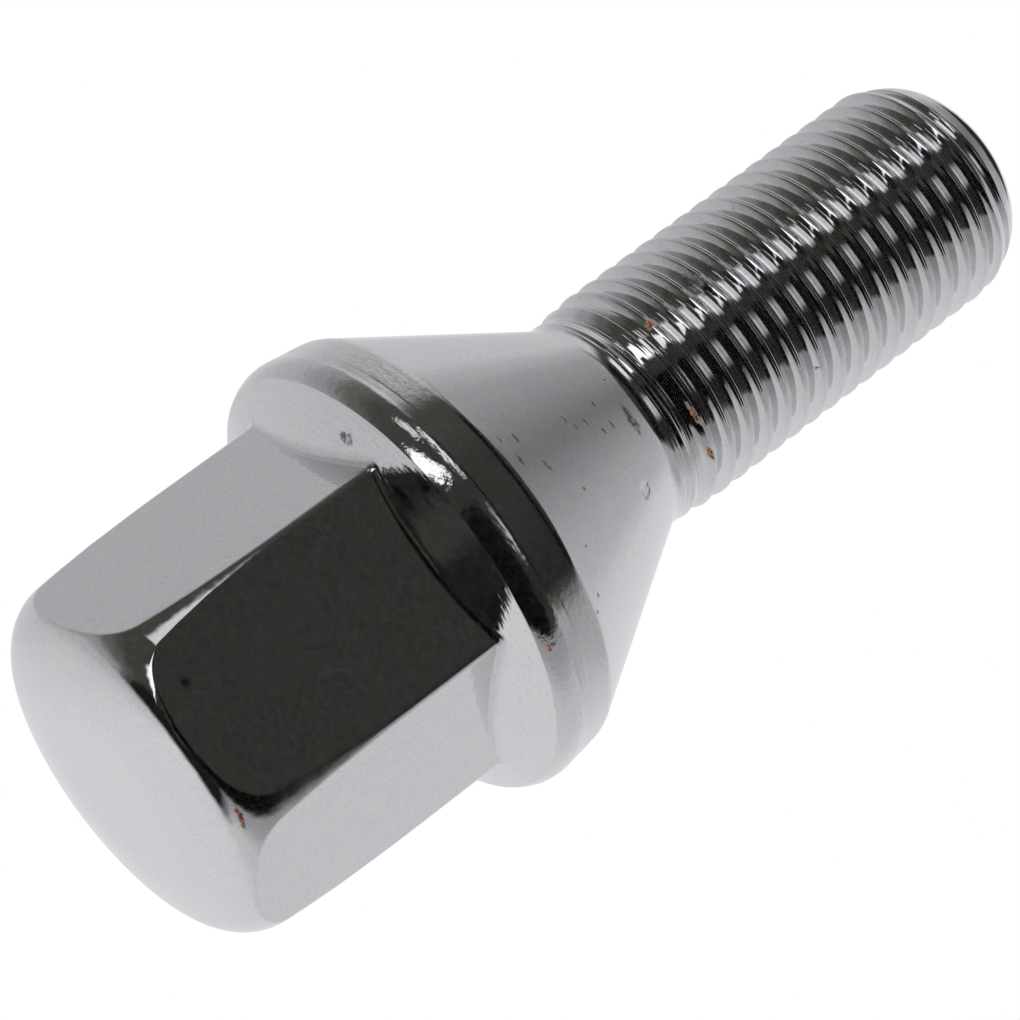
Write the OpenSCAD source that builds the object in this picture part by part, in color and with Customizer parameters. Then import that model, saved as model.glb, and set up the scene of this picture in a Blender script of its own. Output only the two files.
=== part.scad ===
// Wheel bolt, M12 x 1.25, with a 60 degree conical seat and a 17 mm hex head.
// It is one solid piece of steel. It stands on the crown of its head, at z = 0, with its axis
// on Z and the thread upwards. Two flats of the hex face along Y.

/* [Hex head] */
// Width across the flats
hex_af = 17; // [14:0.5:19]
// Height of the head at its flats, up to the collar
hex_h = 15.6; // [14:0.1:24]
// Rounding of the six long edges
hex_edge_r = 0.5; // [0.2:0.1:1.2]
// Diameter of the flat in the middle of the crown, on which the bolt stands
crown_flat_d = 6; // [3:0.5:9]
// Slope of the crown at its rim, in degrees from level
crown_angle = 15; // [6:1:20]
// Rounding of the shoulder between the crown and the flats
shoulder_r = 1.6; // [0.8:0.1:1.9]
// Amount by which the corners draw in at the crown
relief_end = 0.62; // [0.5:0.01:0.9]
// Amount by which the corners draw in at the middle of the relief
relief_mid = 0.34; // [0.2:0.01:0.45]
// Height of the middle of the relief
relief_mid_h = 4; // [3:0.1:5]
// Height at which the relief runs out
relief_top_h = 11.8; // [7:0.1:12.5]

/* [Collar] */
// Largest diameter of the collar
collar_d = 23.6; // [21.5:0.1:27]
// Slope of the collar's face around the hex, in degrees from level
bevel_angle = 24; // [10:1:40]
// Rounding between that face and the rim
collar_edge_r = 1.3; // [0.4:0.1:1.4]
// Height of the rim, from that edge to the seat
rim_h = 3.2; // [3:0.1:6]
// Height of the sloping part of the rim, next to the seat
rim_taper_h = 1.4; // [1.1:0.1:1.6]
// Amount by which the rim draws in at the seat
rim_drop = 0.3; // [0.1:0.05:0.4]
// Rounding between the upright and the sloping part of the rim
rim_round_r = 6; // [1:0.5:6]

/* [Seat] */
// Whole angle of the conical seat
seat_angle = 60; // [50:1:90]
// Step from the rim down to the seat
seat_step = 0.06; // [0.02:0.01:0.3]

/* [Thread] */
// Nominal diameter
thread_d = 12; // [10:0.5:14]
// Pitch
thread_pitch = 1.25; // [1:0.25:1.75]
// Allowance by which the crests lie under the nominal radius
crest_allowance = 0.05; // [0:0.01:0.1]
// Length of the shank, from the seat to the tip
shank_len = 25; // [18:0.5:40]
// Diameter of the plain neck between the seat and the thread
neck_d = 11.4; // [9:0.1:11.6]
// Length of the plain neck
neck_len = 0.9; // [0.3:0.1:2]
// Rounding between the seat and the neck
neck_round_r = 1.8; // [0.3:0.1:3]
// Length over which the thread grows to its full depth
runout_len = 2; // [1:0.1:4]
// Place of the first crest on the X axis, from the end of the seat
crest_start = -0.18; // [-0.4:0.01:0.2]

/* [Tip] */
// Length of the tapered lead at the tip
lead_len = 3.1; // [2:0.1:4]
// Slope of the lead, in degrees from the axis
lead_angle = 23; // [10:1:30]
// Rounding between the lead and the end face
tip_round_r = 3.3; // [1:0.1:3.6]

/* [Hidden] */

// Steps of each rounded stretch in the outlines
round_steps = 6;
// Steps of each rounded hex edge
edge_steps = 4;
// Sides of the thread in one turn
thread_sides = 36;
// Amount by which the threaded core is narrower than the neck that holds it
core_inset = 0.08;
// Amount by which the relief runs past the corners, so that it crosses them cleanly
relief_overrun = 0.02;
// Largest share of the neck that its rounding may take up
neck_round_share = 0.9;
// Depth of the hex inside which the face of the collar starts
bevel_root_depth = 1.5;
// Facets of the turned surfaces, for the preview
$fn = 96;

// Hex head
flat_r = hex_af / 2;
sharp_corner_r = flat_r / cos(30);
corner_r = sharp_corner_r - hex_edge_r * (1 / cos(30) - 1);
crown_rim_r = corner_r - relief_end;
// The crown is one arc that fills the stretch between its flat and the shoulder
crown_flat_r = crown_flat_d / 2;
shoulder_reach = shoulder_r * tan((90 - crown_angle) / 2);
crown_break_r =
    (crown_flat_r + crown_rim_r / cos(crown_angle) - shoulder_reach) / (1 + 1 / cos(crown_angle));
crown_round_r = (crown_break_r - crown_flat_r) / tan(crown_angle / 2);
crown_rim_z = (crown_rim_r - crown_break_r) * tan(crown_angle);

// Collar and seat
collar_r = collar_d / 2;
bevel_slope = tan(bevel_angle);
bevel_root_r = flat_r - bevel_root_depth;
bevel_root_z = hex_h - bevel_root_depth * bevel_slope;
rim_z = hex_h + (collar_r - flat_r) * bevel_slope;
rim_end_z = rim_z + rim_h;
rim_end_r = collar_r - rim_drop;
seat_r = rim_end_r - seat_step;
neck_r = neck_d / 2;
seat_end_z = rim_end_z + (seat_r - neck_r) / tan(seat_angle / 2);
neck_end_z = seat_end_z + neck_len;
neck_round = min(neck_round_r, neck_round_share * neck_len / tan(seat_angle / 4));
tip_z = seat_end_z + shank_len;

// Thread, as an ISO metric profile. The shares are of the pitch.
crest_r = thread_d / 2 - crest_allowance;
depth_share = 0.6134;
root_r = thread_d / 2 - depth_share * thread_pitch;
crest_share = 1 / 8;
flank_share = depth_share * tan(30);
// The points of one tooth: each has its place as a share of the pitch, and its height as a share
// of the depth
tooth = [
    [0, 1],
    [crest_share, 1],
    [crest_share + flank_share, 0],
    [1 - flank_share, 0]
];
// The threaded core starts inside the seat, a little narrower than the neck
core_start_r = neck_r - core_inset;
core_start_z = seat_end_z + crest_start - thread_pitch;
thread_turns = ceil((tip_z - core_start_z) / thread_pitch) + 1;
thread_rows = thread_turns * len(tooth);
rows_kept = thread_rows + len(tooth) + 1;

// Tip
lead_z = tip_z - lead_len;
lead_end_r = crest_r - lead_len * tan(lead_angle);
tip_tangent = tip_round_r * tan((90 - lead_angle) / 2);
tip_flat_r = lead_end_r - tip_tangent;
tip_round_z = tip_z - tip_tangent * cos(lead_angle);

// Unit vector from one point of an outline to another
function heading(from, to) = (to - from) / norm(to - from);

// Points of the arc that rounds the corner at b, between a and c
function round_corner(a, b, c, r, steps) =
    let (
        u = heading(b, a),
        v = heading(b, c),
        half = acos(u * v) / 2,
        reach = r / tan(half),
        middle = b + (u + v) / norm(u + v) * r / sin(half),
        first = b + u * reach - middle,
        last = b + v * reach - middle,
        start = atan2(first[1], first[0]),
        turn = atan2(last[1], last[0]) - start,
        sweep = turn > 180 ? turn - 360 : (turn < -180 ? turn + 360 : turn)
    )
    [for (i = [0 : steps]) middle + r * [cos(start + sweep * i / steps), sin(start + sweep * i / steps)]];

// Closed outline with rounded corners, from a list of [x, y, radius]
function rounded_outline(corners, steps) =
    let (n = len(corners), spot = [for (c = corners) [c[0], c[1]]])
    [for (i = [0 : n - 1])
        let (r = corners[i][2])
        each (r > 0
            ? round_corner(spot[(i + n - 1) % n], spot[i], spot[(i + 1) % n], r, steps)
            : [spot[i]])];

// Hexagon with rounded corners and two flats along Y
module hex_outline() {
    polygon(rounded_outline(
        [for (i = [0 : 5]) [sharp_corner_r * cos(60 * i), sharp_corner_r * sin(60 * i), hex_edge_r]],
        edge_steps
    ));
}

// Turned envelope that forms the crown, the shoulder and the relief of the hex corners
module head_envelope() {
    rotate_extrude()
        polygon(rounded_outline([
            [0, 0, 0],
            [crown_break_r, 0, crown_round_r],
            [crown_rim_r, crown_rim_z, shoulder_r],
            [corner_r - relief_mid, relief_mid_h, 0],
            [corner_r + relief_overrun, relief_top_h, 0],
            [sharp_corner_r, relief_top_h, 0],
            [sharp_corner_r, rim_z, 0],
            [0, rim_z, 0]
        ], round_steps));
}

// Hex that the wheel brace turns
module hex_head() {
    intersection() {
        linear_extrude(rim_z)
            hex_outline();
        head_envelope();
    }
}

// Collar, conical seat and neck, turned as one
module collar_and_seat() {
    rotate_extrude()
        polygon(rounded_outline([
            [0, bevel_root_z, 0],
            [bevel_root_r, bevel_root_z, 0],
            [collar_r, rim_z, collar_edge_r],
            [collar_r, rim_end_z - rim_taper_h, rim_round_r],
            [rim_end_r, rim_end_z, 0],
            [seat_r, rim_end_z, 0],
            [neck_r, seat_end_z, neck_round],
            [neck_r, neck_end_z, 0],
            [0, neck_end_z, 0]
        ], round_steps));
}

// Radius of the crests and of the roots at a height, with the runout at the neck
function grown_r(z, full_r) =
    let (share = min(1, max(0, (z - neck_end_z) / runout_len)))
    core_start_r + (full_r - core_start_r) * share;

// Radius of the lead and of the rounded tip at a height
function tip_r(z) =
    z < tip_round_z
        ? crest_r - (z - lead_z) * tan(lead_angle)
        : z < tip_z
            ? tip_flat_r + sqrt(pow(tip_round_r, 2) - pow(z - tip_z + tip_round_r, 2))
            : tip_flat_r;

// Radius of the threaded core at a height, for a share of the depth
function core_r(z, share) =
    min(tip_r(z), grown_r(z, root_r) + share * (grown_r(z, crest_r) - grown_r(z, root_r)));

// Point of the thread on one side and row. Each row climbs by one pitch in a turn.
function thread_point(side, row) =
    let (
        part = tooth[row % len(tooth)],
        angle = 360 * side / thread_sides,
        climb = floor(row / len(tooth)) + part[0] + side / thread_sides,
        z = core_start_z + thread_pitch * climb,
        r = core_r(z, part[1])
    )
    [r * cos(angle), r * sin(angle), z];

// Index of a thread point. After a whole turn a row meets the row one pitch above it.
function thread_index(side, row) =
    side == thread_sides ? row + len(tooth) : side * rows_kept + row;

// Threaded core as one closed helical skin, cut level at the tip
module threaded_core() {
    bottom = thread_sides * rows_kept;
    top = bottom + 1;
    points = concat(
        [for (side = [0 : thread_sides - 1]) for (row = [0 : rows_kept - 1]) thread_point(side, row)],
        [[0, 0, core_start_z], [0, 0, core_start_z + thread_pitch * (thread_turns + 1)]]
    );
    skin = [for (side = [0 : thread_sides - 1]) for (row = [0 : thread_rows - 1])
        let (
            a = thread_index(side, row),
            b = thread_index(side, row + 1),
            c = thread_index(side + 1, row + 1),
            d = thread_index(side + 1, row)
        )
        each [[a, b, c], [a, c, d]]];
    rim = [for (side = [0 : thread_sides - 1])
        each [
            [bottom, thread_index(side, 0), thread_index(side + 1, 0)],
            [top, thread_index(side + 1, thread_rows), thread_index(side, thread_rows)]
        ]];
    step = [for (row = [0 : len(tooth) - 1])
        each [
            [bottom, row + 1, row],
            [top, thread_rows + row, thread_rows + row + 1]
        ]];
    difference() {
        polyhedron(points, concat(skin, rim, step));
        translate([-thread_d, -thread_d, tip_z])
            cube([2 * thread_d, 2 * thread_d, 4 * thread_pitch]);
    }
}

// The bolt, forged, turned, threaded and plated as one piece
module wheel_bolt() {
    color("silver")
        union() {
            hex_head();
            collar_and_seat();
            threaded_core();
        }
}

wheel_bolt();
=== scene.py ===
"""Looks of the chrome wheel bolt: its mesh, its plated finish, a plain studio and the camera."""

import logging
import math
from dataclasses import dataclass
from enum import Enum
from functools import reduce
from typing import Any

import bmesh
import bpy
from bmesh.types import BMesh, BMVert
from mathutils import Matrix, Vector, noise


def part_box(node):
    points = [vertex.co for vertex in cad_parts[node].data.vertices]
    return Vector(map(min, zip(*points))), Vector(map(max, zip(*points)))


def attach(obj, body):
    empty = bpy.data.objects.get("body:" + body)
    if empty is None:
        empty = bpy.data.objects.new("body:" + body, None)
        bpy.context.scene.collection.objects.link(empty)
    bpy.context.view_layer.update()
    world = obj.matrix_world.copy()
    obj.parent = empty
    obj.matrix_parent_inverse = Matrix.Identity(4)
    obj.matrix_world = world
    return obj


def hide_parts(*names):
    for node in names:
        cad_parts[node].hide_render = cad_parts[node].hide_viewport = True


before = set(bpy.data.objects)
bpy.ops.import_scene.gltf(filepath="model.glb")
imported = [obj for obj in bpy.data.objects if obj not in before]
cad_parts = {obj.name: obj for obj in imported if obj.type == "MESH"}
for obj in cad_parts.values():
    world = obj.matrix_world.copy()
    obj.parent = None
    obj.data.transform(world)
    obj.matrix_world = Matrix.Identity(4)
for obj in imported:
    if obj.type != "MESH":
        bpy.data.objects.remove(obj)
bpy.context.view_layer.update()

Pair = tuple[float, float]
Pairs = tuple[Pair, ...]
Triple = tuple[float, float, float]

LOG = logging.getLogger("wheel_bolt")
NODE = "wheel_bolt"
BODY = "root"
SLOT = "chrome_plate"
MM = 0.001
MERGE = 0.0004
ON_PLANE = 0.0001
RIM_REACH = 0.0005
SECTORS = 6
HEX_SECTOR = math.radians(60)
FULL_TURN = 360
HALF_TURN = 180
BLEMISH_EDGE = (1.2, 0.55)
NOISE_MIDDLE = 0.5


@dataclass(frozen=True)
class Corner:
    """One corner of a turned outline, in millimetres.

    A corner with a rounding becomes an arc of that radius with that many steps. The straight
    stretch that follows the corner is divided into rows.
    """

    radius: float
    height: float
    rounding: float = 0.0
    steps: int = 1
    rows: int = 1

    def spot(self) -> Vector:
        """Return the corner as a flat vector of radius and height."""
        return Vector((self.radius, self.height))


def rounded(before: Vector, corner: Corner, after: Vector) -> list[Vector]:
    """Round one corner of an outline.

    Args:
        before: The corner before it.
        corner: The corner to round.
        after: The corner after it.

    Returns:
        The points of the arc, or the corner itself where it has no rounding.
    """
    spot = corner.spot()
    if corner.rounding == 0:
        return [spot]
    back = (before - spot).normalized()
    ahead = (after - spot).normalized()
    half = back.angle(ahead) / 2
    reach = corner.rounding / math.tan(half)
    middle = spot + (back + ahead).normalized() * corner.rounding / math.sin(half)
    first = spot + back * reach - middle
    last = spot + ahead * reach - middle
    sweep = math.atan2(first.cross(last), first.dot(last))
    return [
        middle + Matrix.Rotation(sweep * step / corner.steps, 2) @ first
        for step in range(corner.steps + 1)
    ]


def outline(corners: list[Corner]) -> list[Vector]:
    """Draw an open outline through rounded corners.

    Args:
        corners: The corners in order.

    Returns:
        The points of the outline, in millimetres.
    """
    spots = [corner.spot() for corner in corners]
    points: list[Vector] = []
    for index, corner in enumerate(corners):
        before = spots[max(index - 1, 0)]
        after = spots[min(index + 1, len(spots) - 1)]
        arc = rounded(before, corner, after)
        if points:
            start = points[-1]
            rows = corners[index - 1].rows
            points += [start.lerp(arc[0], row / rows) for row in range(1, rows)]
        points += arc
    return points


def soft_least(a: float, b: float, reach: float) -> float:
    """Return the smaller of two sizes, rounded over where they are nearly equal."""
    overlap = max(reach - abs(a - b), 0.0) / reach
    return min(a, b) - overlap * overlap * reach / 4


def soft_most(a: float, b: float, reach: float) -> float:
    """Return the larger of two sizes, rounded over where they are nearly equal."""
    return -soft_least(-a, -b, reach)


def smooth_share(value: float, start: float, end: float) -> float:
    """Return how far a value has come from start to end, from 0 to 1, with soft ends."""
    share = min(max((value - start) / (end - start), 0.0), 1.0)
    return share * share * (3 - 2 * share)


def radius_of(vert: BMVert) -> float:
    """Return the distance of a vertex from the axis."""
    return math.hypot(vert.co.x, vert.co.y)


def azimuth_of(vert: BMVert) -> float:
    """Return the azimuth of a vertex about the axis, in radians."""
    return math.atan2(vert.co.y, vert.co.x)


def move_to_radius(vert: BMVert, radius: float) -> None:
    """Move a vertex straight out or in.

    Args:
        vert: The vertex.
        radius: Its new distance from the axis.
    """
    share = radius / radius_of(vert)
    vert.co.x *= share
    vert.co.y *= share


def sweep_about_axis(
    bm: BMesh, points: list[Vector], angle: float, steps: int, rise: float = 0.0
) -> None:
    """Sweep an outline about the axis, from the plane of X and Z.

    Args:
        bm: The mesh to draw in.
        points: Radius and height of each point.
        angle: How far it turns, in radians.
        steps: Number of steps in the turn.
        rise: How far it climbs in one step.
    """
    verts = [bm.verts.new((point.x, 0.0, point.y)) for point in points]
    edges = [bm.edges.new(pair) for pair in zip(verts, verts[1:])]
    bmesh.ops.spin(
        bm,
        geom=verts + edges,
        cent=(0, 0, 0),
        axis=(0, 0, 1),
        dvec=(0, 0, rise),
        angle=angle,
        steps=steps,
    )


def repeat(bm: BMesh, step: Matrix, times: int) -> None:
    """Add copies of a skin, each moved by one more step, and merge them where they meet.

    Args:
        bm: The skin.
        step: The move from one copy to the next.
        times: Number of copies with the first.
    """
    first = list(bm.verts) + list(bm.edges) + list(bm.faces)
    move = Matrix.Identity(4)
    for _ in range(times - 1):
        move = step @ move
        made = bmesh.ops.duplicate(bm, geom=first)["geom"]
        verts = [item for item in made if isinstance(item, BMVert)]
        bmesh.ops.transform(bm, matrix=move, verts=verts)
    bmesh.ops.remove_doubles(bm, verts=bm.verts, dist=MERGE)


def turn(points: list[Vector], columns: int) -> BMesh:
    """Turn an outline about the axis into a skin, one sixth at a time.

    Args:
        points: Radius and height of each point of the outline.
        columns: Number of columns in the full turn.

    Returns:
        The mesh, with its pole merged into one vertex.
    """
    bm = bmesh.new()
    sweep_about_axis(bm, points, HEX_SECTOR, columns // SECTORS)
    repeat(bm, Matrix.Rotation(HEX_SECTOR, 4, "Z"), SECTORS)
    return bm


@dataclass
class ForgedHead:
    """Crown, hex, collar, conical seat and neck, turned as one and pulled onto the hex.

    Sizes are in millimetres and angles in degrees. The relief is pairs of height and depth.
    """

    collar_radius: float
    across_flats: float = 17.0
    corner_rounding: float = 0.5
    edge_softness: float = 0.035
    foot_softness: float = 0.5
    foot_reach: float = 0.3
    hex_height: float = 15.6
    crown_flat_radius: float = 3.0
    crown_slope: float = 15.0
    shoulder_rounding: float = 2.6
    rim_relief: float = 0.43
    relief: Pairs = ((4.2, 0.2), (6.0, 0.1), (9.5, 0.0))
    bevel_slope: float = 24.0
    collar_edge_inset: float = 0.37
    collar_lean: float = 36.0
    rim_height: float = 3.2
    rim_taper: float = 2.15
    rim_drop: float = 0.3
    rim_rounding: float = 1.2
    seat_edge_rounding: float = 1.3
    seat_half_angle: float = 30.0
    seat_step: float = 0.06
    neck_radius: float = 5.7
    neck_rounding: float = 1.8
    neck_length: float = 0.5
    edge_break: float = 0.1
    columns: int = 360
    crowding: float = 1.6
    crease_least: float = 15.0
    crease_most: float = 28.0

    def __post_init__(self) -> None:
        """Work out the sizes that follow from the others."""
        self.flat_radius = self.across_flats / 2
        corner_secant = 1 / math.cos(HEX_SECTOR / 2)
        self.sharp_corner = self.flat_radius * corner_secant
        self.corner_radius = self.sharp_corner - self.corner_rounding * (corner_secant - 1)
        self.bevel_climb = math.tan(math.radians(self.bevel_slope))
        self.foot_end = (
            self.hex_height
            + (self.sharp_corner - self.flat_radius) * self.bevel_climb
            + self.foot_reach
        )
        self.rim_base = (
            self.hex_height + (self.collar_radius - self.flat_radius) * self.bevel_climb
        )
        self.rim_end = self.rim_base + self.rim_height
        seat_radius = self.collar_radius - self.rim_drop - self.seat_step
        self.seat_end = self.rim_end + (seat_radius - self.neck_radius) / math.tan(
            math.radians(self.seat_half_angle)
        )
        self.neck_end = self.seat_end + self.neck_length

    def bevel_radius(self, height: float) -> float:
        """Return the radius of the collar's bevel at a height."""
        return self.flat_radius + (height - self.hex_height) / self.bevel_climb

    def crown_corners(self) -> list[Corner]:
        """Set out the crown and the shoulder.

        Returns:
            Their corners, from the axis outwards.
        """
        slope = math.radians(self.crown_slope)
        secant = 1 / math.cos(slope)
        rim_radius = self.corner_radius - self.rim_relief
        reach = self.shoulder_rounding * math.tan((math.pi / 2 - slope) / 2)
        break_radius = (self.crown_flat_radius + rim_radius * secant - reach) / (1 + secant)
        crown_rounding = (break_radius - self.crown_flat_radius) / math.tan(slope / 2)
        rim_height = (rim_radius - break_radius) * math.tan(slope)
        return [
            Corner(0, 0, rows=2),
            Corner(break_radius, 0, crown_rounding, steps=12),
            Corner(rim_radius, rim_height, self.shoulder_rounding, steps=22, rows=6),
        ]

    def hex_corners(self) -> list[Corner]:
        """Set out the relief and the foot of the hex.

        Returns:
            Their corners, from the crown to the collar.
        """
        foot_start = self.hex_height - self.foot_reach
        relieved = [
            Corner(self.corner_radius - depth, height, rows=4) for height, depth in self.relief
        ]
        return relieved + [
            Corner(self.sharp_corner, foot_start, rows=18),
            Corner(self.bevel_radius(self.foot_end), self.foot_end, rows=3),
        ]

    def collar_corners(self) -> list[Corner]:
        """Set out the collar, the seat and the neck.

        Returns:
            Their corners, from the hex to the thread.
        """
        taper_start = self.rim_end - self.rim_taper
        rim_edge = self.collar_radius - self.rim_drop
        lean = math.radians(self.collar_lean)
        edge_radius = self.collar_radius - self.collar_edge_inset
        edge_height = self.rim_base - self.collar_edge_inset * self.bevel_climb
        lean_length = self.collar_edge_inset / math.sin(lean)
        lean_height = edge_height + lean_length * math.cos(lean)
        room = min(lean_length, taper_start - lean_height) - self.edge_break
        rounding = room / math.tan(lean / 2)
        return [
            Corner(edge_radius, edge_height, self.edge_break, steps=5),
            Corner(self.collar_radius, lean_height, rounding, steps=12, rows=3),
            Corner(self.collar_radius, taper_start, self.rim_rounding, steps=5, rows=4),
            Corner(rim_edge, self.rim_end, self.seat_edge_rounding, steps=5, rows=16),
            Corner(self.neck_radius, self.seat_end, self.neck_rounding, steps=10, rows=2),
            Corner(self.neck_radius, self.neck_end),
        ]

    def hex_radius(self, azimuth: float) -> float:
        """Measure the rounded hexagon.

        Args:
            azimuth: The direction from the axis, in radians.

        Returns:
            The hexagon's radius in that direction.
        """
        half = HEX_SECTOR / 2
        off_corner = abs((azimuth + half) % HEX_SECTOR - half)
        rounding = self.corner_rounding
        centre = (self.flat_radius - rounding) / math.cos(half)
        edge = math.atan2(rounding * math.sin(half), centre + rounding * math.cos(half))
        if off_corner < edge:
            across = centre * math.sin(off_corner)
            return centre * math.cos(off_corner) + math.sqrt(rounding**2 - across**2)
        return self.flat_radius / math.cos(half - off_corner)

    def crowd(self, vert: BMVert) -> None:
        """Turn a vertex about the axis, so that the columns crowd where a flat ends.

        Args:
            vert: The vertex.
        """
        half = HEX_SECTOR / 2
        off_flat = azimuth_of(vert) % HEX_SECTOR - half
        share = abs(off_flat) / half
        crease = math.acos(min(self.flat_radius / radius_of(vert), 1.0))
        crease = min(max(crease, math.radians(self.crease_least)), math.radians(self.crease_most))
        if share <= 0.5:
            moved = crease * (1 - (1 - 2 * share) ** self.crowding)
        else:
            moved = crease + (half - crease) * (2 * share - 1)
        evened = smooth_share(vert.co.z, self.foot_end, self.rim_end)
        moved += (abs(off_flat) - moved) * evened
        turned = math.copysign(moved, off_flat) - off_flat
        vert.co = Matrix.Rotation(turned, 3, "Z") @ vert.co

    def shape(self, vert: BMVert) -> None:
        """Crowd a vertex towards the creases and pull it onto the hex or the bevel.

        Args:
            vert: The vertex.
        """
        if radius_of(vert) > 0:
            self.crowd(vert)
        if vert.co.z >= self.foot_end - ON_PLANE or radius_of(vert) == 0:
            return
        hexagon = self.hex_radius(azimuth_of(vert))
        radius = soft_least(radius_of(vert), hexagon, self.edge_softness)
        bevel = self.bevel_radius(vert.co.z)
        move_to_radius(vert, soft_most(radius, bevel, self.foot_softness))

    def build(self) -> BMesh:
        """Build the skin of the head.

        Returns:
            The skin, open at the neck.
        """
        corners = self.crown_corners() + self.hex_corners() + self.collar_corners()
        bm = turn(outline(corners), self.columns)
        for vert in bm.verts:
            self.shape(vert)
        return bm


@dataclass
class RolledThread:
    """The rolled thread from the neck to the rounded tip, as one helical skin.

    The crest, the flanks and the root of half a tooth are points, each a share of the pitch
    from the crest's seam and a depth under the crest in millimetres.
    """

    neck_end: float
    neck_radius: float
    tip_height: float
    diameter: float = 12.0
    pitch: float = 1.25
    crest_allowance: float = 0.05
    crest_height: float = 30.11
    seam_depth: float = 0.035
    waver: float = 0.005
    waver_scale: float = 1.2
    runout: float = 2.4
    chatter_depth: float = 0.05
    chatter_count: int = 4
    chatter_start: float = 30.65
    chatter_end: float = 33.4
    chatter_fade: float = 0.3
    lead_length: float = 3.1
    lead_angle: float = 23.0
    tip_rounding: float = 3.3
    lead_softness: float = 0.12
    dome_depth: float = 1.4
    cut_gap: float = 0.02
    columns: int = 96
    dome_rows: int = 14
    spare_turns: int = 2
    crest: Pairs = (
        (0.03, 0.0), (0.067, 0.006), (0.101, 0.022), (0.131, 0.049), (0.15, 0.074)
    )
    outer_flank: Pairs = ((0.25, 0.237), (0.344, 0.39))
    inner_flank: Pairs = ((0.355, 0.414), (0.434, 0.585))
    root: Pairs = ((0.44, 0.598), (0.446, 0.598), (0.5, 0.598))

    def __post_init__(self) -> None:
        """Work out the sizes that follow from the others."""
        self.crest_radius = self.diameter / 2 - self.crest_allowance
        slope = math.radians(self.lead_angle)
        end_radius = self.crest_radius - self.lead_length * math.tan(slope)
        reach = self.tip_rounding * math.tan((math.pi / 2 - slope) / 2)
        self.face_radius = end_radius - reach
        self.rounding_start = self.tip_height - reach * math.cos(slope)
        self.cut_height = self.tip_height - self.dome_depth

    def tooth(self) -> list[Vector]:
        """Set out one pitch of the thread.

        Returns:
            Radius and height of its points, from root to root.
        """
        upper = [*self.crest, *self.outer_flank, *self.inner_flank, *self.root]
        lower = [(-share, drop) for share, drop in reversed(upper)]
        return [
            Vector((self.crest_radius - drop, self.crest_height + share * self.pitch))
            for share, drop in [*lower, (0.0, self.seam_depth), *upper]
        ]

    def tip_radius(self, height: float) -> float:
        """Measure the lead and the rounded tip.

        Args:
            height: Height on the axis.

        Returns:
            Their radius at that height.
        """
        lead_start = self.tip_height - self.lead_length
        if height < self.rounding_start:
            return self.crest_radius - (height - lead_start) * math.tan(
                math.radians(self.lead_angle)
            )
        rise = min(height, self.tip_height) - self.tip_height + self.tip_rounding
        return self.face_radius + math.sqrt(self.tip_rounding**2 - rise**2)

    def shape(self, vert: BMVert) -> None:
        """Run the thread out at the neck and cut it down to the lead at the tip.

        Args:
            vert: The vertex to move.
        """
        height = vert.co.z
        grown = min(max((height - self.neck_end) / self.runout, 0.0), 1.0)
        radius = self.neck_radius + (radius_of(vert) - self.neck_radius) * grown
        radius += noise.noise(vert.co * self.waver_scale) * self.waver * grown
        radius -= self.chatter(vert)
        if height > self.tip_height - self.lead_length - self.pitch:
            radius = soft_least(radius, self.tip_radius(height), self.lead_softness)
        move_to_radius(vert, radius)

    def chatter(self, vert: BMVert) -> float:
        """Measure the fine ridges that follow the first turns of the thread.

        Args:
            vert: The vertex where they are measured.

        Returns:
            How far the ridges cut in there.
        """
        height = vert.co.z
        shown = smooth_share(height, self.chatter_start, self.chatter_start + self.chatter_fade)
        shown *= smooth_share(height, self.chatter_end, self.chatter_end - self.chatter_fade)
        turns = height / self.pitch - azimuth_of(vert) / math.tau
        wave = math.cos(math.tau * self.chatter_count * turns)
        return self.chatter_depth * shown * (1 + wave) / 2

    def build(self) -> BMesh:
        """Build the helical skin.

        Returns:
            The skin, cut level at the neck and below the rounded tip.
        """
        bm = bmesh.new()
        drop = math.ceil((self.crest_height - self.neck_end) / self.pitch) + self.spare_turns
        rise = math.ceil((self.tip_height - self.crest_height) / self.pitch)
        turns = drop + rise + 1
        below = Vector((0, -drop * self.pitch))
        first = [point + below for point in self.tooth()]
        sweep_about_axis(bm, first, math.tau, self.columns, self.pitch / self.columns)
        repeat(bm, Matrix.Translation((0, 0, self.pitch)), turns)
        for vert in bm.verts:
            self.shape(vert)
        self.cut(bm, self.neck_end + self.cut_gap, upwards=False)
        self.cut(bm, self.cut_height - self.cut_gap, upwards=True)
        return bm

    def cut(self, bm: BMesh, height: float, upwards: bool) -> None:
        """Cut the skin level at a height.

        Args:
            bm: The skin.
            height: Height of the cut.
            upwards: Whether what lies above the cut goes.
        """
        bmesh.ops.bisect_plane(
            bm,
            geom=list(bm.verts) + list(bm.edges) + list(bm.faces),
            dist=ON_PLANE,
            plane_co=(0, 0, height),
            plane_no=(0, 0, 1),
            clear_outer=upwards,
            clear_inner=not upwards,
        )

    def build_dome(self) -> BMesh:
        """Build the smooth end of the tip.

        Returns:
            Its skin, turned from the cut to the axis.
        """
        middle = Vector((self.face_radius, self.tip_height - self.tip_rounding))
        rise = (self.cut_height - middle.y) / self.tip_rounding
        start = math.asin(rise)
        points = []
        for row in range(self.dome_rows + 1):
            angle = start + (math.pi / 2 - start) * row / self.dome_rows
            points.append(middle + Vector((math.cos(angle), math.sin(angle))) * self.tip_rounding)
        points += [Vector((self.face_radius / 2, self.tip_height)), Vector((0, self.tip_height))]
        return turn(points, self.columns)


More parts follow.
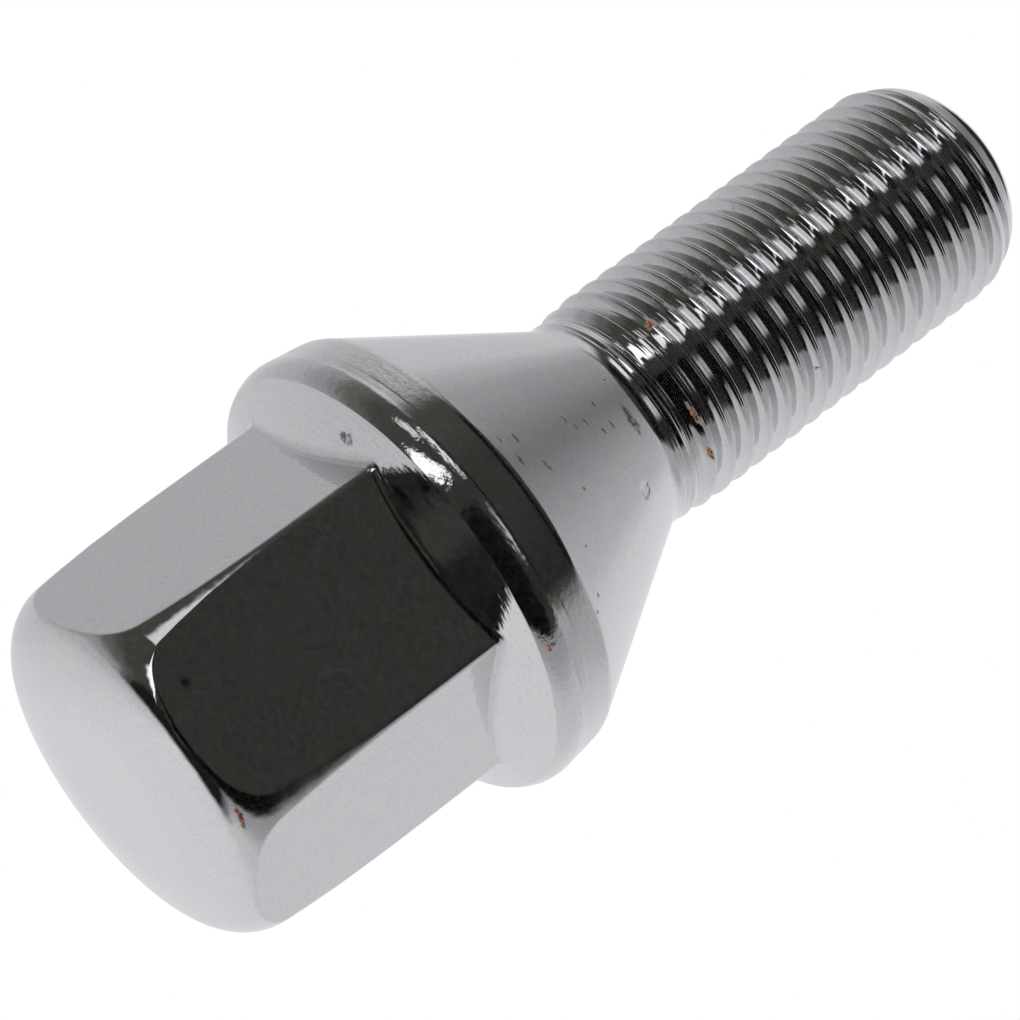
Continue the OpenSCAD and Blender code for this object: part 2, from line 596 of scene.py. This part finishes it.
class Op(str, Enum):
    """Operations of a Math node that the finishes use."""

    ADD = "ADD"
    SUBTRACT = "SUBTRACT"
    MULTIPLY = "MULTIPLY"
    DIVIDE = "DIVIDE"
    MOST = "MAXIMUM"
    ROOT = "SQRT"
    ARCSINE = "ARCSINE"
    ARCTANGENT = "ARCTAN2"
    SIZE = "ABSOLUTE"
    REST = "FLOORED_MODULO"


class NodeBook:
    """Makes the nodes of one material or world."""

    def __init__(self, tree: bpy.types.NodeTree) -> None:
        """Empty the node tree and keep it."""
        self.tree = tree
        tree.nodes.clear()

    def make(self, kind: str, settings: dict[str, Any] | None = None, **inputs: Any) -> Any:
        """Make a node.

        Args:
            kind: The node's type.
            settings: Attributes to set before the inputs.
            **inputs: What feeds each socket, by the socket's name with _ for a blank, or by its
                number after the letter i.

        Returns:
            The node.
        """
        node = self.tree.nodes.new(kind)
        for name, value in (settings or {}).items():
            setattr(node, name, value)
        for name, value in inputs.items():
            key = int(name[1:]) if name[1:].isdigit() else name.replace("_", " ")
            self.feed(node.inputs[key], value)
        return node

    def feed(self, socket: Any, value: Any) -> None:
        """Link a value to a socket, or set the socket's own value.

        Args:
            socket: The socket.
            value: A value or socket to link, or a number, vector or colour to set.
        """
        if isinstance(value, Value):
            value = value.socket
        if isinstance(value, bpy.types.NodeSocket):
            self.tree.links.new(value, socket)
        else:
            socket.default_value = value

    def value(self, node: Any, output: int | str = 0) -> "Value":
        """Wrap one output of a node."""
        return Value(self, node.outputs[output])

    def blend(self, factor: Any, below: Any, above: Any, way: str = "MIX") -> "Value":
        """Lay one colour over another.

        Args:
            factor: How much of the upper colour shows, from 0 to 1.
            below: The lower colour.
            above: The upper colour.
            way: The node's blend type.

        Returns:
            The colour that results.
        """
        settings = {"data_type": "RGBA", "blend_type": way}
        node = self.make("ShaderNodeMix", settings, i0=factor, i6=below, i7=above)
        return self.value(node, 2)


class Value:
    """A socket that takes part in Python sums."""

    def __init__(self, book: NodeBook, socket: Any) -> None:
        """Keep the socket and the book that its sums are written in."""
        self.book = book
        self.socket = socket

    def combine(self, operation: Op, first: Any, second: Any) -> "Value":
        """Add one Math node.

        Args:
            operation: What the node does.
            first: Its first value.
            second: Its second value.

        Returns:
            The result.
        """
        node = self.book.make(
            "ShaderNodeMath", {"operation": operation.value}, i0=first, i1=second
        )
        return self.book.value(node)

    def __add__(self, other: Any) -> "Value":
        """Return the sum."""
        return self.combine(Op.ADD, self, other)

    def __radd__(self, other: Any) -> "Value":
        """Return the sum, from the right."""
        return self.combine(Op.ADD, other, self)

    def __sub__(self, other: Any) -> "Value":
        """Return the difference."""
        return self.combine(Op.SUBTRACT, self, other)

    def __rsub__(self, other: Any) -> "Value":
        """Return the difference, from the right."""
        return self.combine(Op.SUBTRACT, other, self)

    def __mul__(self, other: Any) -> "Value":
        """Return the product."""
        return self.combine(Op.MULTIPLY, self, other)

    def __truediv__(self, other: Any) -> "Value":
        """Return the quotient."""
        return self.combine(Op.DIVIDE, self, other)

    def __mod__(self, other: Any) -> "Value":
        """Return the rest after division, never negative."""
        return self.combine(Op.REST, self, other)

    def size(self) -> "Value":
        """Return the number without its sign."""
        return self.combine(Op.SIZE, self, 0.0)

    def most(self, other: Any) -> "Value":
        """Return the larger of the two."""
        return self.combine(Op.MOST, self, other)

    def ramp(self, start: float, end: float) -> "Value":
        """Take a soft step.

        Args:
            start: Where the step begins.
            end: Where it ends.

        Returns:
            0 before the start and 1 after the end.
        """
        node = self.book.make(
            "ShaderNodeMapRange",
            {"interpolation_type": "SMOOTHSTEP"},
            Value=self,
            From_Min=start,
            From_Max=end,
        )
        return self.book.value(node)

    def vector(self, operation: str, other: Any = (0, 0, 0)) -> "Value":
        """Return the result of a Vector Math node, a number where it is a length."""
        node = self.book.make("ShaderNodeVectorMath", {"operation": operation}, i0=self, i1=other)
        return self.book.value(node, "Value" if operation == "LENGTH" else "Vector")

    def stretch(self, shares: Triple) -> "Value":
        """Return a vector with each axis multiplied by its share."""
        return self.vector("MULTIPLY", shares)

    def axes(self) -> list["Value"]:
        """Return the three parts of a vector."""
        node = self.book.make("ShaderNodeSeparateXYZ", Vector=self)
        return [self.book.value(node, axis) for axis in range(3)]


@dataclass(frozen=True)
class Line:
    """A straight line of a value: its size at 0 and its rise from 0 to 1."""

    base: float
    rise: float

    def at(self, value: Value) -> Value:
        """Return the line's size at a value."""
        return self.base + value * self.rise


@dataclass(frozen=True)
class Span:
    """A range of a value, with soft edges."""

    low: float
    high: float
    edge: float

    def mask(self, value: Value) -> Value:
        """Return 1 within the range and 0 outside it."""
        rise = value.ramp(self.low - self.edge, self.low + self.edge)
        return rise - value.ramp(self.high - self.edge, self.high + self.edge)


@dataclass(frozen=True)
class Noise:
    """Noise on the plating: its scale, its detail and what each axis is multiplied by."""

    scale: float
    detail: float
    shares: Triple | None = None

    def lay(self, place: Value, output: int = 0) -> Value:
        """Make the noise.

        Args:
            place: The place where it is read, in millimetres.
            output: 0 for a value from 0 to 1, 1 for a colour.

        Returns:
            The noise.
        """
        if self.shares:
            place = place.stretch(self.shares)
        book = place.book
        node = book.make("ShaderNodeTexNoise", Vector=place, Scale=self.scale, Detail=self.detail)
        return book.value(node, output)


class Kind(Enum):
    """Kinds of blemish on the plating."""

    RUST = "rust"
    DENT = "dent"
    PIT = "pit"
    SCRATCH = "scratch"
    PALE = "worn pale"
    SOOT = "stained dark"


@dataclass(frozen=True)
class Blemish:
    """One blemish on the plating.

    Its place is an azimuth in degrees, 0 in front and growing towards +X, with a distance from
    the axis and a height in millimetres. Its half sizes are in millimetres, across and along
    the axis before its tilt, which is in degrees.
    """

    azimuth: float
    radius: float
    height: float
    half_width: float
    half_height: float
    tilt: float = 0.0

    def mask(self, place: Value, reach: float) -> Value:
        """Measure the blemish's strength.

        Args:
            place: The place on the bolt, in millimetres.
            reach: How far the blemish goes under the surface.

        Returns:
            0 outside the blemish to 1 in its middle.
        """
        azimuth = math.radians(self.azimuth)
        middle = (math.sin(azimuth) * self.radius, -math.cos(azimuth) * self.radius, self.height)
        local = place.book.make(
            "ShaderNodeMapping",
            {"vector_type": "TEXTURE"},
            Vector=place,
            Location=middle,
            Rotation=(math.radians(self.tilt), 0, azimuth - math.pi / 2),
            Scale=(reach, self.half_width, self.half_height),
        )
        return place.book.value(local).vector("LENGTH").ramp(*BLEMISH_EDGE)


BLEMISHES = {
    Kind.RUST: (
        Blemish(-26.2, 5.93, 33.37, 0.26, 0.24),
        Blemish(20.1, 5.88, 32.33, 0.75, 0.1, 8),
        Blemish(43.9, 5.89, 32.45, 0.7, 0.14, 14),
        Blemish(33.0, 11.68, 17.3, 0.3, 0.12),
        Blemish(28.3, 9.02, 1.4, 0.7, 0.1),
        Blemish(-16.5, 6.2, 29.36, 0.12, 0.08),
        Blemish(-53.7, 5.45, 32.61, 0.3, 0.08),
    ),
    Kind.DENT: (
        Blemish(28.4, 7.28, 27.5, 0.42, 0.36),
    ),
    Kind.PIT: (
        Blemish(-11.3, 10.59, 21.83, 0.3, 0.1),
        Blemish(-6.1, 10.99, 21.14, 0.36, 0.09),
        Blemish(-1.0, 10.27, 22.37, 0.45, 0.07, 12),
        Blemish(-5.3, 7.97, 26.33, 0.22, 0.08),
        Blemish(-5.9, 8.39, 25.59, 0.2, 0.07),
        Blemish(-9.5, 8.58, 25.28, 0.24, 0.07),
        Blemish(-9.3, 7.23, 27.59, 0.18, 0.07),
        Blemish(0.5, 7.57, 27.0, 0.24, 0.07),
        Blemish(0.6, 7.15, 27.72, 0.26, 0.08),
        Blemish(20.6, 10.69, 21.67, 0.09, 0.09),
        Blemish(32.1, 11.09, 20.97, 0.14, 0.12),
        Blemish(34.7, 11.38, 20.47, 0.12, 0.1),
        Blemish(9.8, 9.57, 23.57, 0.12, 0.1),
        Blemish(-12.8, 11.11, 20.94, 0.2, 0.06),
    ),
    Kind.SCRATCH: (
        Blemish(8.6, 8.6, 8.42, 0.5, 0.035, 68),
        Blemish(10.6, 8.65, 9.1, 0.6, 0.03, 55),
        Blemish(17.2, 8.9, 9.4, 1.9, 0.03, 4),
        Blemish(16.5, 8.87, 10.3, 1.6, 0.025, -3),
        Blemish(-22.9, 9.23, 7.8, 0.7, 0.03, 4),
        Blemish(17.5, 11.62, 19.7, 0.5, 0.035, -52),
        Blemish(-33.7, 11.5, 19.6, 0.6, 0.04, 40),
    ),
    Kind.PALE: (
        Blemish(-38.7, 5.85, 34.48, 0.6, 0.1),
        Blemish(-40.6, 5.78, 35.68, 0.5, 0.12),
        Blemish(-40.4, 5.7, 36.89, 0.55, 0.16),
        Blemish(-30.4, 5.57, 36.85, 0.5, 0.34),
        Blemish(-36.8, 5.68, 38.14, 0.5, 0.12),
        Blemish(-54.8, 5.71, 41.84, 0.35, 0.2),
    ),
    Kind.SOOT: (
        Blemish(41.5, 5.73, 39.69, 0.12, 0.12),
        Blemish(-24.3, 5.67, 36.93, 0.3, 0.3),
        Blemish(4.2, 6.35, 29.1, 0.9, 0.28),
        Blemish(-13.6, 8.74, 2.82, 0.27, 0.26),
        Blemish(-40.9, 10.09, 16.31, 0.5, 0.12),
        Blemish(-17.9, 9.71, 16.14, 0.8, 0.12),
        Blemish(-14.6, 10.96, 16.7, 0.6, 0.1),
    ),
}


@dataclass(frozen=True)
class Surface:
    """What the plating reads at a point: its noises, its bands and its blemishes."""

    peel: Value
    fine: Value
    coarse: Value
    mottle: Value
    streaks: Value
    torn: Value
    bevel: Value
    upright: Value
    worn: Value
    masks: dict[Kind, Value]


@dataclass(frozen=True)
class ChromePlate:
    """Bright chrome plating with wear, stains and rust.

    Heights are in millimetres. So are the bands, along the axis, but for the smooth front, which
    is in degrees about it. An edge is the pair of values between which something begins.
    """

    warm: Triple = (0.75, 0.745, 0.735)
    cool: Triple = (0.725, 0.735, 0.755)
    stain: Triple = (0.16, 0.16, 0.17)
    pale: Triple = (0.72, 0.75, 0.78)
    rust_light: Triple = (0.42, 0.17, 0.07)
    rust_dark: Triple = (0.09, 0.03, 0.02)
    mottle_edge: Pair = (0.3, 0.7)
    torn_edge: Pair = (0.42, 0.58)
    rust_edge: Pair = (0.35, 0.65)
    haze_edge: Pair = (0.4, 0.62)
    speckle: Line = Line(0.78, 0.42)
    soot_cover: Line = Line(0.35, 0.65)
    pit_cover: float = 0.75
    pale_torn: Line = Line(0.4, 0.6)
    pale_cover: float = 0.8
    roughness: float = 0.055
    roughness_change: float = 0.04
    worn_roughness: Line = Line(0.12, 0.1)
    pale_roughness: Line = Line(0.3, 0.2)
    rust_roughness: float = 0.75
    pit_roughness: float = 0.2
    scratch_roughness: float = 0.15
    haze: float = 0.012
    rust_metal_loss: float = 0.9
    peel_height: float = 0.009
    grain_height: float = 0.0006
    streak_height: float = 0.012
    worn_height: float = 0.014
    upright_height: float = 0.014
    dent_height: float = 0.045
    wobble: float = 0.3
    wobble_noise: Noise = Noise(5.0, 2.0)
    streaks: Noise = Noise(5.0, 2.0, (1.0, 1.4, 1.0))
    mottle: Noise = Noise(0.8, 3.0)
    peel: Noise = Noise(1.3, 1.0)
    fine: Noise = Noise(7.0, 2.0)
    coarse: Noise = Noise(3.2, 3.0, (1.0, 1.0, 1.6))
    blemish_reach: float = 1.5
    bevel: Span = Span(15.9, 17.0, 0.1)
    upright: Span = Span(17.0, 18.3, 0.1)
    rim: Span = Span(18.8, 20.35, 0.08)
    smooth_front: Span = Span(-30.0, 24.0, 5.0)

    def blemishes(self, place: Value) -> dict[Kind, Value]:
        """Lay all blemishes, with ragged edges but for the scratches.

        Args:
            place: The place on the bolt, in millimetres.

        Returns:
            The strength of each kind.
        """
        shift = self.wobble_noise.lay(place, 1).vector("SUBTRACT", (NOISE_MIDDLE,) * 3)
        ragged = place.vector("ADD", shift.stretch((self.wobble,) * 3))
        strengths = {}
        for kind, group in BLEMISHES.items():
            where = place if kind is Kind.SCRATCH else ragged
            masks = [blemish.mask(where, self.blemish_reach) for blemish in group]
            strengths[kind] = reduce(Value.most, masks)
        return strengths

    def surface(self, book: NodeBook) -> Surface:
        """Read the place on the bolt, and all that depends on it.

        Args:
            book: Where the nodes go.

        Returns:
            The values that the plating is made from.
        """
        object_place = book.value(book.make("ShaderNodeTexCoord"), "Object")
        place = object_place.stretch((1 / MM,) * 3)
        east, north, height = place.axes()
        azimuth = east.combine(Op.ARCTANGENT, east, 0 - north)
        radius = place.stretch((1, 1, 0)).vector("LENGTH")
        around = book.value(book.make("ShaderNodeCombineXYZ", X=radius, Y=azimuth, Z=height))
        coarse = self.coarse.lay(place)
        front = self.smooth_front.mask(azimuth * math.degrees(1))
        return Surface(
            peel=self.peel.lay(place),
            fine=self.fine.lay(place),
            coarse=coarse,
            mottle=self.mottle.lay(place),
            streaks=self.streaks.lay(around),
            torn=coarse.ramp(*self.torn_edge),
            bevel=self.bevel.mask(height),
            upright=self.upright.mask(height),
            worn=self.rim.mask(height) * (1 - front),
            masks=self.blemishes(place),
        )

    def relief(self, on: Surface) -> Value:
        """Work out the fine relief.

        Args:
            on: What the plating reads.

        Returns:
            Its height in millimetres.
        """
        relief = on.peel * self.peel_height + on.fine * self.grain_height
        relief = relief + on.streaks * on.bevel * self.streak_height
        relief = relief + on.coarse * on.worn * self.worn_height
        relief = relief + on.coarse * on.upright * self.upright_height
        return relief - on.masks[Kind.DENT] * self.dent_height

    def colour(self, book: NodeBook, on: Surface, pale: Value) -> Value:
        """Work out the colour.

        Args:
            book: Where the nodes go.
            on: What the plating reads.
            pale: How far the plating is worn pale.

        Returns:
            The colour.
        """
        tone = on.mottle.ramp(*self.mottle_edge)
        plating = book.blend(tone, (*self.warm, 1), (*self.cool, 1))
        speckle = book.blend(self.speckle.at(on.fine), (0, 0, 0, 1), (1, 1, 1, 1))
        plating = book.blend(1.0, plating, speckle, "MULTIPLY")
        dark = on.masks[Kind.SOOT] * self.soot_cover.at(on.torn)
        dark = dark.most(on.masks[Kind.PIT] * self.pit_cover)
        colour = book.blend(dark, plating, (*self.stain, 1))
        colour = book.blend(pale * self.pale_cover, colour, (*self.pale, 1))
        rust = on.fine.ramp(*self.rust_edge)
        rusty = book.blend(rust, (*self.rust_dark, 1), (*self.rust_light, 1))
        return book.blend(on.masks[Kind.RUST], colour, rusty)

    def rough(self, on: Surface, pale: Value) -> Value:
        """Work out the roughness.

        Args:
            on: What the plating reads.
            pale: How far the plating is worn pale.

        Returns:
            The roughness.
        """
        rough = self.roughness + (on.mottle - NOISE_MIDDLE) * self.roughness_change
        rough = rough + on.worn * self.worn_roughness.at(on.coarse)
        rough = rough.most(pale * self.pale_roughness.at(on.fine))
        rough = rough.most(on.masks[Kind.RUST] * self.rust_roughness)
        rough = rough.most(on.masks[Kind.PIT] * self.pit_roughness)
        return rough.most(on.masks[Kind.SCRATCH] * self.scratch_roughness)

    def material(self) -> bpy.types.Material:
        """Make the plating.

        Returns:
            The plating as a material.
        """
        made = bpy.data.materials.new(SLOT)
        made.use_nodes = True
        book = NodeBook(made.node_tree)
        on = self.surface(book)
        pale = on.masks[Kind.PALE] * self.pale_torn.at(on.torn)
        relief = self.relief(on)
        bump = book.make("ShaderNodeBump", Strength=1.0, Distance=MM, Height=relief)
        both = (on.fine + on.coarse) / 2
        haze = both.ramp(*self.haze_edge) * self.haze
        shader = book.make(
            "ShaderNodeBsdfPrincipled",
            Base_Color=self.colour(book, on, pale),
            Metallic=1 - haze - on.masks[Kind.RUST] * self.rust_metal_loss,
            Roughness=self.rough(on, pale),
            Normal=book.value(bump),
        )
        book.make("ShaderNodeOutputMaterial", Surface=book.value(shader))
        return made


def as_object(bm: BMesh, name: str, material: bpy.types.Material) -> bpy.types.Object:
    """Make an object of a skin and free the skin.

    Args:
        bm: The skin, in metres.
        name: The object's name.
        material: Its finish.

    Returns:
        The object, in the scene.
    """
    mesh = bpy.data.meshes.new(name)
    bm.to_mesh(mesh)
    bm.free()
    mesh.materials.append(material)
    made = bpy.data.objects.new(name, mesh)
    bpy.context.scene.collection.objects.link(made)
    return made


@dataclass
class WheelBolt:
    """The bolt as one plated piece."""

    head: ForgedHead
    thread: RolledThread
    finish: ChromePlate

    def close(self, bm: BMesh, low: float, high: float) -> None:
        """Bridge the two open rims that lie at two heights.

        Args:
            bm: The skin.
            low: Height of the lower rim.
            high: Height of the upper rim.
        """
        rims = [
            edge
            for edge in bm.edges
            if edge.is_boundary
            and any(all(abs(v.co.z - z) < RIM_REACH for v in edge.verts) for z in (low, high))
        ]
        bmesh.ops.bridge_loops(bm, edges=rims)

    def build(self) -> bpy.types.Object:
        """Build the bolt.

        Returns:
            The bolt as an object, in metres.
        """
        bm = bmesh.new()
        for part in (self.head.build(), self.thread.build(), self.thread.build_dome()):
            mesh = bpy.data.meshes.new("part")
            part.to_mesh(mesh)
            part.free()
            bm.from_mesh(mesh)
            bpy.data.meshes.remove(mesh)
        gap = self.thread.cut_gap
        self.close(bm, self.head.neck_end, self.head.neck_end + gap)
        self.close(bm, self.thread.cut_height - gap, self.thread.cut_height)
        bmesh.ops.recalc_face_normals(bm, faces=bm.faces)
        bmesh.ops.scale(bm, vec=(MM, MM, MM), verts=bm.verts)
        open_edges = sum(1 for edge in bm.edges if not edge.is_manifold)
        volume = bm.calc_volume(signed=True)
        piece = as_object(bm, "chrome_wheel_bolt", self.finish.material())
        piece.data.shade_smooth()
        triangles = sum(len(face.vertices) - 2 for face in piece.data.polygons)
        LOG.info(
            "%s: %d triangles, %d open edges, %.0f mm3",
            piece.name, triangles, open_edges, volume / MM**3,
        )
        return piece


@dataclass(frozen=True)
class Panel:
    """A soft-edged area of the studio, as angles seen from the bolt, in degrees.

    The azimuth is 0 in front, on the camera's side, and grows towards +X.
    """

    azimuth: float
    elevation: float
    half_width: float
    half_height: float
    side_edge: float
    end_edge: float
    level: float
    lean: float = 0.0

    def lay(self, azimuth: Value, elevation: Value, behind: Value) -> Value:
        """Lay the panel over what is behind it.

        Args:
            azimuth: Azimuth of the direction, in degrees.
            elevation: Elevation of the direction, in degrees.
            behind: The brightness behind the panel.

        Returns:
            The brightness with the panel.
        """
        side = (azimuth - self.azimuth + HALF_TURN) % FULL_TURN - HALF_TURN
        rise = elevation - self.elevation
        if self.lean:
            rise = rise - side * self.lean
        mask = self.band(side, self.half_width, self.side_edge)
        mask = mask * self.band(rise, self.half_height, self.end_edge)
        return behind + (self.level - behind) * mask

    def band(self, off: Value, half: float, edge: float) -> Value:
        """Return 1 up to a half width off the middle and 0 beyond it, with a soft edge."""
        return off.size().ramp(half + edge, half - edge)


def share_of_turn(azimuth: Any) -> Any:
    """Return the place of an azimuth, a number or a value in degrees, on a ramp from 0 to 1."""
    return azimuth / FULL_TURN + HALF_TURN / FULL_TURN


@dataclass
class Studio:
    """The studio: world, floor and camera.

    The walls are pairs of azimuth and brightness. The ceiling is the part overhead and the pit
    is the part below. An edge is the pair of angles, or sizes, between which a part begins.
    """

    walls: Pairs = (
        (-180, 0.82),
        (-160, 0.68),
        (-125, 0.53),
        (-105, 0.36),
        (-85, 0.13),
        (-68, 0.06),
        (-15, 0.034),
        (45, 0.02),
        (59, 0.04),
        (67, 0.36),
        (105, 0.66),
        (150, 0.8),
        (180, 0.82),
    )
    ceiling: float = 0.15
    ceiling_rise: float = 0.8
    ceiling_middle: float = -0.1
    ceiling_softness: float = 0.08
    ceiling_edge: Pair = (55.0, 66.0)
    ceiling_front: Pair = (-0.26, -0.12)
    pit: float = 0.012
    pit_edge: Pair = (-56.0, -68.0)
    pit_back: Pair = (0.1, 0.28)
    dark_tint: Triple = (1.0, 1.0, 0.88)
    pale_tint: Triple = (0.965, 0.972, 1.0)
    tint_edge: Pair = (0.04, 0.3)
    panels: tuple[Panel, ...] = (
        Panel(-126, 44, 52, 10, 12, 4, 0.65),
        Panel(87, 44, 25, 10, 14, 4, 0.45),
        Panel(27, -25, 34, 39, 4, 3, 0.003),
        Panel(-5, -72, 14, 9, 6, 5, 0.05),
        Panel(0, 52, 56, 8, 6, 2, 0.004),
        Panel(-37, -32, 13, 19, 2, 3, 1.4, 1.5),
        Panel(-52, 11.5, 6, 7, 2, 2, 0.8),
        Panel(-37, 31, 14, 5.5, 4, 1, 0.95),
        Panel(12, 32, 12, 5.5, 7, 1, 0.55),
        Panel(180, 65, 26, 12, 4, 3, 0.02),
    )
    target_mm: Triple = (0.568, -0.011, 24.223)
    distance_mm: float = 230.92
    azimuth: float = -1.08
    elevation: float = -24.48
    roll: float = 53.26
    lens: float = 172.16
    sensor: float = 36.0
    clip_share: float = 100.0
    floor_half: float = 2.0
    floor_tone: float = 0.9

    def brightness(self, book: NodeBook) -> Value:
        """Draw the studio.

        Args:
            book: Where the nodes go.

        Returns:
            Its brightness in each direction.
        """
        direction = book.value(book.make("ShaderNodeTexCoord"), "Generated")
        east, north, height = direction.axes()
        azimuth = east.combine(Op.ARCTANGENT, east, 0 - north) * math.degrees(1)
        elevation = height.combine(Op.ARCSINE, height, 0.0) * math.degrees(1)
        ramp = book.make("ShaderNodeValToRGB", Fac=share_of_turn(azimuth))
        self.set_stops(ramp.color_ramp)
        level = book.value(ramp)
        overhead = elevation.ramp(*self.ceiling_edge)
        overhead = overhead * north.ramp(*self.ceiling_front)
        off_middle = east - self.ceiling_middle
        bowl = off_middle * off_middle + self.ceiling_softness**2
        ceiling = self.ceiling + bowl.combine(Op.ROOT, bowl, 0.0) * self.ceiling_rise
        level = level + (ceiling - level) * overhead
        below = elevation.ramp(*self.pit_edge)
        below = below * (1 - north.ramp(*self.pit_back))
        level = level + (self.pit - level) * below
        for panel in self.panels:
            level = panel.lay(azimuth, elevation, level)
        return level

    def set_stops(self, ramp: bpy.types.ColorRamp) -> None:
        """Set the brightness of the walls along the azimuth.

        Args:
            ramp: The ramp to set, with its first two stops in place.
        """
        ramp.interpolation = "EASE"
        for index, (azimuth, level) in enumerate(self.walls):
            spot = share_of_turn(azimuth)
            if index < len(ramp.elements):
                stop = ramp.elements[index]
                stop.position = spot
            else:
                stop = ramp.elements.new(spot)
            stop.color = (level, level, level, 1)

    def light(self) -> None:
        """Make the world: the drawn studio in reflections, and plain white elsewhere."""
        world = bpy.data.worlds.new("studio")
        bpy.context.scene.world = world
        world.use_nodes = True
        book = NodeBook(world.node_tree)
        glossy = book.value(book.make("ShaderNodeLightPath"), "Is Glossy Ray")
        drawn = self.brightness(book)
        lit = drawn.ramp(*self.tint_edge)
        tint = book.blend(lit, (*self.dark_tint, 1), (*self.pale_tint, 1))
        colour = book.blend(glossy, (1, 1, 1, 1), tint)
        level = 1 + (drawn - 1) * glossy
        background = book.make("ShaderNodeBackground", Color=colour, Strength=level)
        book.make("ShaderNodeOutputWorld", Surface=book.value(background))

    def place_camera(self) -> None:
        """Place the camera as the photographer's was relative to the bolt."""
        azimuth = math.radians(self.azimuth)
        elevation = math.radians(self.elevation)
        back = Vector((
            math.sin(azimuth) * math.cos(elevation),
            -math.cos(azimuth) * math.cos(elevation),
            math.sin(elevation),
        ))
        data = bpy.data.cameras.new("camera")
        data.lens = self.lens
        data.sensor_width = self.sensor
        data.clip_start = self.distance_mm * MM / self.clip_share
        data.clip_end = self.distance_mm * MM * self.clip_share
        camera = bpy.data.objects.new("camera", data)
        bpy.context.scene.collection.objects.link(camera)
        turned = (-back).to_track_quat("-Z", "Y").to_matrix()
        rolled = turned @ Matrix.Rotation(math.radians(self.roll), 3, "Z")
        place = (Vector(self.target_mm) + back * self.distance_mm) * MM
        camera.matrix_world = Matrix.Translation(place) @ rolled.to_4x4()
        bpy.context.scene.camera = camera

    def lay_floor(self) -> None:
        """Lay the pale floor, which can't be seen from below."""
        bm = bmesh.new()
        bmesh.ops.create_grid(bm, x_segments=1, y_segments=1, size=self.floor_half)
        material = bpy.data.materials.new("pale_floor")
        material.use_nodes = True
        book = NodeBook(material.node_tree)
        under = book.value(book.make("ShaderNodeNewGeometry"), "Backfacing")
        pale = book.make("ShaderNodeBsdfDiffuse", Color=(*(self.floor_tone,) * 3, 1))
        clear = book.make("ShaderNodeBsdfTransparent")
        shown = book.make(
            "ShaderNodeMixShader", i0=under, i1=book.value(pale), i2=book.value(clear)
        )
        book.make("ShaderNodeOutputMaterial", Surface=book.value(shown))
        floor = as_object(bm, "floor", material)
        floor.visible_glossy = False


def main() -> None:
    """Build the bolt and the studio, and report each piece."""
    logging.basicConfig(level=logging.INFO, format="%(message)s")
    bpy.context.scene.view_settings.view_transform = "Standard"
    studio = Studio()
    studio.place_camera()
    studio.light()
    studio.lay_floor()
    low, high = (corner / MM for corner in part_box(NODE))
    head = ForgedHead(collar_radius=high.x)
    thread = RolledThread(
        neck_end=head.neck_end, neck_radius=head.neck_radius, tip_height=high.z
    )
    bolt = WheelBolt(head, thread, ChromePlate()).build()
    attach(bolt, BODY)
    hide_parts(NODE)


if __name__ == "__main__":
    main()
